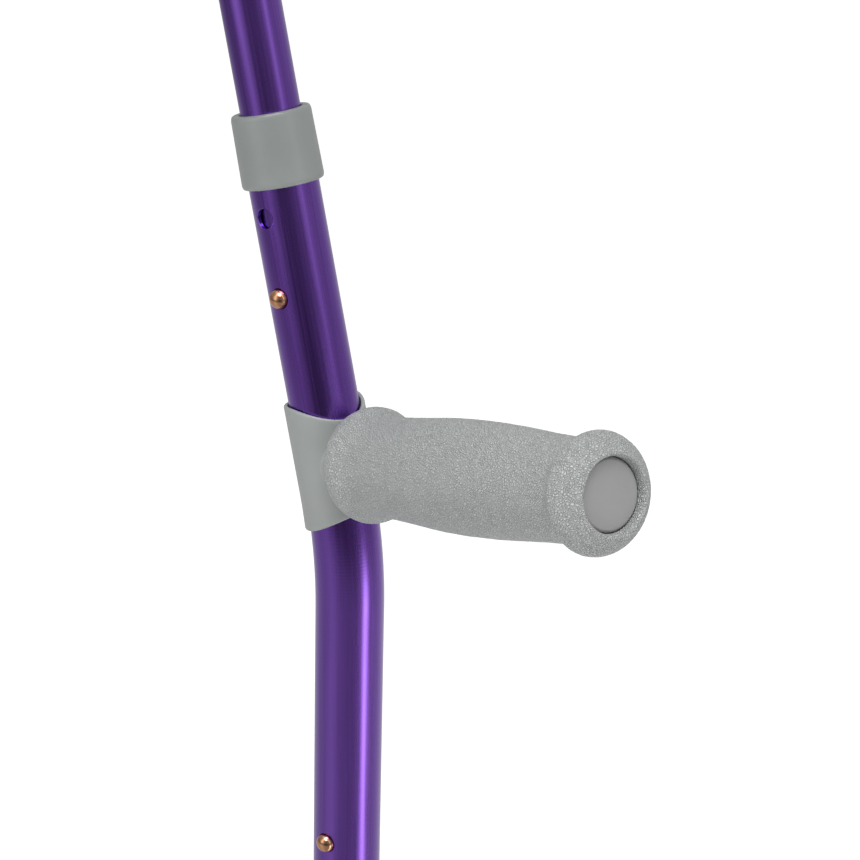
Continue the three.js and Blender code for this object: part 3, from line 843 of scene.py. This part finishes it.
# ------------------------------------------------------------------ rubber tip
foot = rounded([
    (0, 0), (3.2, 0), (3.2, 1.5), (5.2, 1.5), (5.2, 0), (9.5, 0, 0.3), (9.5, 1.5, 0.2), (13, 1.5, 0.2), (13, 0, 0.3), (16.3, 0, 0.3), (16.3, 1.4), (18.6, 1.4), (18.6, 0, 0.3),
    (22.4, 0, 0.9), (23.3, 1.2, 0.8), (23.2, 6.5, 3), (22.2, 9.2, 3), (19.6, 12.4, 6), (17.0, 15.8, 8), (15.4, 19.6, 8), (14.6, 23.6, 1.0),
    (15.2, 24.6, 0.5), (15.2, 27.4, 0.5), (14.3, 28.0, 0.4), (14.3, 29.6, 0.4), (15.2, 30.2, 0.5), (15.2, 33.4, 0.6), (14.0, 34.6, 1.0), (13.6, 43.6, 1.0), (14.3, 44.6, 0.5), (14.3, 47.6, 0.7),
    (13.3, 48.4, 0.5), (9.87, 48.4, 0.3), (9.87, 12), (0, 12)], False, 4)
v, f = revolve(foot, 120)
piece("foot_tip", v, f, MAT["rubber"], "leg", "rubber_tip", None, 42)

# ------------------------------------------------------------------ CAD pieces that show as they are
for node, key in (("handle_washer", "steel"), ("handle_nut", "steel"), ("upper_snap_spring", "spring"), ("lower_snap_spring", "spring"),
                  ("cuff_washer_left", "nylon"), ("cuff_washer_right", "nylon"), ("tip_washer", "steel")):
    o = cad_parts[node]
    o.data.materials.clear()
    o.data.materials.append(MAT[key])

# ------------------------------------------------------------------ stage
fm, fnt, fb = make_material("stage_floor")
fv = object_coords(fnt)
fnt.links.new(ramp(fnt, tex_noise(fnt, fv, 3.0, 2.0, 0.5), [(0.3, (0.93, 0.93, 0.93)), (0.7, (0.95, 0.95, 0.95))]), fb.inputs["Base Color"])
fb.inputs["Roughness"].default_value = 0.9
fb.inputs["Specular IOR Level"].default_value = 0.0
fb.inputs["Emission Color"].default_value = (1, 1, 1, 1)
fb.inputs["Emission Strength"].default_value = 0.42
bpy.ops.mesh.primitive_plane_add(size=60, location=(0, 0, -0.2295))      # low enough to clear the leg at its full length
floor = bpy.context.object
floor.name = "stage_floor"
floor.data.materials.append(fm)
floor.visible_glossy = False

world = bpy.data.worlds.new("studio")
bpy.context.scene.world = world
world.use_nodes = True
world.node_tree.nodes["Background"].inputs["Color"].default_value = (1, 1, 1, 1)
world.node_tree.nodes["Background"].inputs["Strength"].default_value = 0.60


def backdrop():
    """Plain white dome far round the set, so that the horizon is as pale as the floor."""
    me = bpy.data.meshes.new("stage_backdrop")
    bm = bmesh.new()
    bmesh.ops.create_icosphere(bm, subdivisions=4, radius=28.0)
    bm.to_mesh(me)
    bm.free()
    o = bpy.data.objects.new("stage_backdrop", me)
    bpy.context.collection.objects.link(o)
    mt, nt, b = make_material("stage_backdrop")
    nt.nodes.remove(b)
    em = add_node(nt, "ShaderNodeEmission")
    em.inputs["Color"].default_value = (1, 1, 1, 1)
    em.inputs["Strength"].default_value = 1.0
    nt.links.new(em.outputs["Emission"], nt.nodes["Material Output"].inputs["Surface"])
    me.materials.append(mt)
    for flag in ("visible_diffuse", "visible_glossy", "visible_shadow", "visible_transmission", "visible_volume_scatter"):
        setattr(o, flag, False)


backdrop()


def surround():
    """The studio as polished metal sees it: a drum of soft panels round the object, seen only in reflections."""
    R, z0, z1, n, m = 1.2, -2.4, 3.6, 180, 120
    verts, faces, cols = [], [], []

    def g(x, c, s):
        return math.exp(-0.5 * ((x - c) / s) ** 2)

    def wrap(a):
        return (a + 180) % 360 - 180

    for j in range(m + 1):
        z = z0 + (z1 - z0) * j / m
        for i in range(n):
            az = -180 + 360 * i / n
            a = math.radians(az)
            verts.append((R * math.cos(a), R * math.sin(a), z))
            low = 1 - smoothstep((z - 0.15) / 0.35)          # 1 low down, 0 higher
            top = smoothstep((z - 0.75) / 0.35)
            front = g(wrap(az + 30), 0, 30)
            rightward = smoothstep((math.sin(math.radians(az + 40)) + 0.3) / 0.9)
            side = 0.36 * low + (1 - low) * (0.150 + 0.10 * top + 0.07 * rightward)
            side -= (0.19 * (1 - low) * 0.75 + 0.07 * low) * front * (1 if low > 0.5 else 0.8)
            strip = g(wrap(az - 16.0 - 2.0 * (1 - low)), 0, 5.2) * (2.6 * low + 2.2 * g(z, 0.08, 0.13) + 0.045 * (1 - low) + 0.75 * top)
            left = g(wrap(az + 97), 0, 13) * (0.12 * low + 0.06 + 0.85 * smoothstep((z - 0.58) / 0.22))
            back = 0.25 * g(wrap(az - 120), 0, 50)
            val = side + strip + left + back + 0.5 * smoothstep((z - 1.6) / 1.2)
            val = max(0.05, val)
            cols.append((val, val, val, 1))
    for j in range(m):
        for i in range(n):
            k = (i + 1) % n
            faces.append((j * n + i, j * n + k, (j + 1) * n + k, (j + 1) * n + i))
    top_c = len(verts)
    verts.append((0, 0, z1))
    cols.append((0.9, 0.9, 0.9, 1))
    bot_c = len(verts)
    verts.append((0, 0, z0))
    cols.append((0.45, 0.45, 0.45, 1))
    for i in range(n):
        k = (i + 1) % n
        faces.append((m * n + i, m * n + k, top_c))
        faces.append((i, bot_c, k))
    me = bpy.data.meshes.new("stage_surround")
    me.from_pydata(verts, [], faces)
    att = me.color_attributes.new("glow", "FLOAT_COLOR", "POINT")
    att.data.foreach_set("color", np.array(cols, np.float32).ravel())
    o = bpy.data.objects.new("stage_surround", me)
    bpy.context.collection.objects.link(o)
    mt, nt, b = make_material("stage_surround")
    nt.nodes.remove(b)
    em = add_node(nt, "ShaderNodeEmission")
    at = add_node(nt, "ShaderNodeAttribute")
    at.attribute_name = "glow"
    nt.links.new(at.outputs["Color"], em.inputs["Color"])
    nt.links.new(em.outputs["Emission"], nt.nodes["Material Output"].inputs["Surface"])
    me.materials.append(mt)
    o.visible_camera = False
    o.visible_diffuse = False
    o.visible_shadow = False
    o.visible_transmission = False
    o.visible_volume_scatter = False


surround()


def area(name, loc, target, size, power, size_y=None, glossy=True):
    d = bpy.data.lights.new(name, "AREA")
    d.energy = power
    d.size = size
    if size_y:
        d.shape = "RECTANGLE"
        d.size_y = size_y
    o = bpy.data.objects.new(name, d)
    bpy.context.collection.objects.link(o)
    o.location = loc
    o.rotation_mode = "QUATERNION"
    o.rotation_quaternion = (Vector(target) - Vector(loc)).to_track_quat("-Z", "Y")
    o.visible_glossy = glossy
    o.visible_camera = False
    return o


area("overhead", (0.35, -0.35, 2.2), (0, 0, 0.75), 0.9, 19.0, glossy=True)
area("right_soft", (1.5, 0.1, 1.1), (0, 0, 0.75), 0.8, 1.7, glossy=False)
area("left_soft", (-0.9, -1.4, 1.2), (0, 0, 0.75), 0.9, 1.7, glossy=False)
area("low_soft", (0.7, -1.3, 0.15), (0, 0, 0.75), 0.9, 1.6, glossy=False)

# ------------------------------------------------------------------ camera
az, el, roll = math.radians(50.35), math.radians(26.18), math.radians(1.44)
back = Vector((math.sin(az) * math.cos(el), -math.cos(az) * math.cos(el), math.sin(el)))
right = Vector((math.cos(az), math.sin(az), 0))
up = back.cross(right)
cx = right * math.cos(roll) + up * math.sin(roll)
cy = -right * math.sin(roll) + up * math.cos(roll)
centre = Vector((0, 0, BEND_Z)) + cx * 25.4 + cy * 37.53
eye = centre + back * 1000.0
cam = bpy.data.cameras.new("camera")
cam.sensor_width = 36
cam.lens = 36 * 3127.1 / 860
cam.clip_start, cam.clip_end = 0.05, 100
cam.dof.use_dof = False
cam_o = bpy.data.objects.new("camera", cam)
bpy.context.collection.objects.link(cam_o)
rot = Matrix((cx, cy, back)).transposed().to_4x4()
cam_o.matrix_world = Matrix.Translation(eye * MM) @ rot
bpy.context.scene.camera = cam_o

bpy.context.scene.view_settings.view_transform = "Standard"
bpy.context.scene.view_settings.look = "None"
